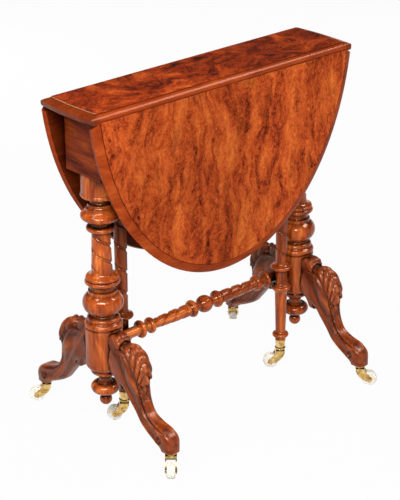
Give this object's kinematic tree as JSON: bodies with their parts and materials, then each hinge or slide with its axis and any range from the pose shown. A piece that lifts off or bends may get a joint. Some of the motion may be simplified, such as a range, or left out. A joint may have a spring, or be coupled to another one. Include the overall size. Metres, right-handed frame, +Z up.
{
  "type": "sutherland table",
  "caption": "Oval drop-leaf table with a narrow fixed top, deep burr veneered flaps on rule joints, swinging gate legs, turned end columns on scroll legs, and casters.",
  "frame": {"origin": "on the floor, under the middle of the table top, with the flaps hanging and the gates shut", "axes": "+Z up, +X along the fixed top and the stretcher, +Y towards the rear flap"},
  "size_m": [0.66, 0.4404, 0.69],
  "materials": {
    "walnut": "French polished",
    "burr_walnut": "French polished",
    "carcase_wood": "planed, bare",
    "brass": "cast and aged",
    "porcelain": "white glazed",
    "steel": "dull iron"
  },
  "bodies": {
    "frame": {"centre_top": "walnut", "centre_top_veneer": "burr_walnut", "front_knuckle_rail": "carcase_wood", "front_left_caster_plate": "brass", "front_left_leg": "walnut", "front_right_caster_plate": "brass", "front_right_leg": "walnut", "gate_knuckle_pins": "steel", "glue_blocks": "carcase_wood", "hinge_pins": "steel", "hinge_top_leaves": "brass", "left_bearer": "carcase_wood", "left_column": "walnut", "left_end_rail": "walnut", "left_pendant": "walnut", "leg_dowels": "carcase_wood", "long_rail": "carcase_wood", "rear_knuckle_rail": "carcase_wood", "rear_left_caster_plate": "brass", "rear_left_leg": "walnut", "rear_right_caster_plate": "brass", "rear_right_leg": "walnut", "right_bearer": "carcase_wood", "right_column": "walnut", "right_end_rail": "walnut", "right_pendant": "walnut", "stretcher": "walnut", "top_hinge_screws": "steel"},
    "front_flap": {"front_flap": "walnut", "front_flap_veneer": "burr_walnut", "front_hinge_flap_leaves": "brass", "front_flap_hinge_screws": "steel"},
    "front_gate": {"front_fly_rail": "walnut", "front_gate_leg": "walnut", "front_gate_caster_cup": "brass"},
    "rear_flap": {"rear_flap": "walnut", "rear_flap_veneer": "burr_walnut", "rear_hinge_flap_leaves": "brass", "rear_flap_hinge_screws": "steel"},
    "rear_gate": {"rear_fly_rail": "walnut", "rear_gate_leg": "walnut", "rear_gate_caster_cup": "brass"},
    "front_left_caster": {"front_left_caster_horn": "brass", "front_left_caster_axle": "brass"},
    "front_left_wheel": {"front_left_caster_wheel": "porcelain"},
    "front_right_caster": {"front_right_caster_horn": "brass", "front_right_caster_axle": "brass"},
    "front_right_wheel": {"front_right_caster_wheel": "porcelain"},
    "rear_left_caster": {"rear_left_caster_horn": "brass", "rear_left_caster_axle": "brass"},
    "rear_left_wheel": {"rear_left_caster_wheel": "porcelain"},
    "rear_right_caster": {"rear_right_caster_horn": "brass", "rear_right_caster_axle": "brass"},
    "rear_right_wheel": {"rear_right_caster_wheel": "porcelain"},
    "front_gate_caster": {"front_gate_caster_horn": "brass", "front_gate_caster_axle": "brass"},
    "front_gate_wheel": {"front_gate_caster_wheel": "porcelain"},
    "rear_gate_caster": {"rear_gate_caster_horn": "brass", "rear_gate_caster_axle": "brass"},
    "rear_gate_wheel": {"rear_gate_caster_wheel": "porcelain"}
  },
  "joints": [
    {"name": "front_flap_hinge", "type": "hinge", "parent": "frame", "child": "front_flap", "pos_m": [0, -0.064, 0.676], "axis": [-1, 0, 0], "range_deg": [0, 90]},
    {"name": "rear_flap_hinge", "type": "hinge", "parent": "frame", "child": "rear_flap", "pos_m": [0, 0.064, 0.676], "axis": [1, 0, 0], "range_deg": [0, 90]},
    {"name": "front_gate_swing", "type": "hinge", "parent": "frame", "child": "front_gate", "pos_m": [-0.022, -0.019, 0.63], "axis": [0, 0, -1], "range_deg": [0, 5]},
    {"name": "rear_gate_swing", "type": "hinge", "parent": "frame", "child": "rear_gate", "pos_m": [0.022, 0.019, 0.63], "axis": [0, 0, -1], "range_deg": [0, 5]},
    {"name": "front_left_swivel", "type": "hinge", "parent": "frame", "child": "front_left_caster", "pos_m": [-0.255, -0.19, 0.045], "axis": [0, 0, 1], "continuous": true},
    {"name": "front_left_roll", "type": "hinge", "parent": "front_left_caster", "child": "front_left_wheel", "pos_m": [-0.26838, -0.20486, 0.015], "axis": [0.7431, -0.6691, 0], "continuous": true},
    {"name": "front_right_swivel", "type": "hinge", "parent": "frame", "child": "front_right_caster", "pos_m": [0.255, -0.19, 0.045], "axis": [0, 0, 1], "continuous": true},
    {"name": "front_right_roll", "type": "hinge", "parent": "front_right_caster", "child": "front_right_wheel", "pos_m": [0.26986, -0.20338, 0.015], "axis": [0.6691, 0.7431, 0], "continuous": true},
    {"name": "rear_left_swivel", "type": "hinge", "parent": "frame", "child": "rear_left_caster", "pos_m": [-0.255, 0.19, 0.045], "axis": [0, 0, 1], "continuous": true},
    {"name": "rear_left_roll", "type": "hinge", "parent": "rear_left_caster", "child": "rear_left_wheel", "pos_m": [-0.26986, 0.20338, 0.015], "axis": [-0.6691, -0.7431, 0], "continuous": true},
    {"name": "rear_right_swivel", "type": "hinge", "parent": "frame", "child": "rear_right_caster", "pos_m": [0.255, 0.19, 0.045], "axis": [0, 0, 1], "continuous": true},
    {"name": "rear_right_roll", "type": "hinge", "parent": "rear_right_caster", "child": "rear_right_wheel", "pos_m": [0.26838, 0.20486, 0.015], "axis": [-0.7431, 0.6691, 0], "continuous": true},
    {"name": "front_gate_swivel", "type": "hinge", "parent": "front_gate", "child": "front_gate_caster", "pos_m": [0.19, -0.024, 0.045], "axis": [0, 0, 1], "continuous": true},
    {"name": "front_gate_roll", "type": "hinge", "parent": "front_gate_caster", "child": "front_gate_wheel", "pos_m": [0.17514, -0.01062, 0.015], "axis": [-0.6691, -0.7431, 0], "continuous": true},
    {"name": "rear_gate_swivel", "type": "hinge", "parent": "rear_gate", "child": "rear_gate_caster", "pos_m": [-0.19, 0.024, 0.045], "axis": [0, 0, 1], "continuous": true},
    {"name": "rear_gate_roll", "type": "hinge", "parent": "rear_gate_caster", "child": "rear_gate_wheel", "pos_m": [-0.20486, 0.03738, 0.015], "axis": [-0.6691, -0.7431, 0], "continuous": true}
  ]
}
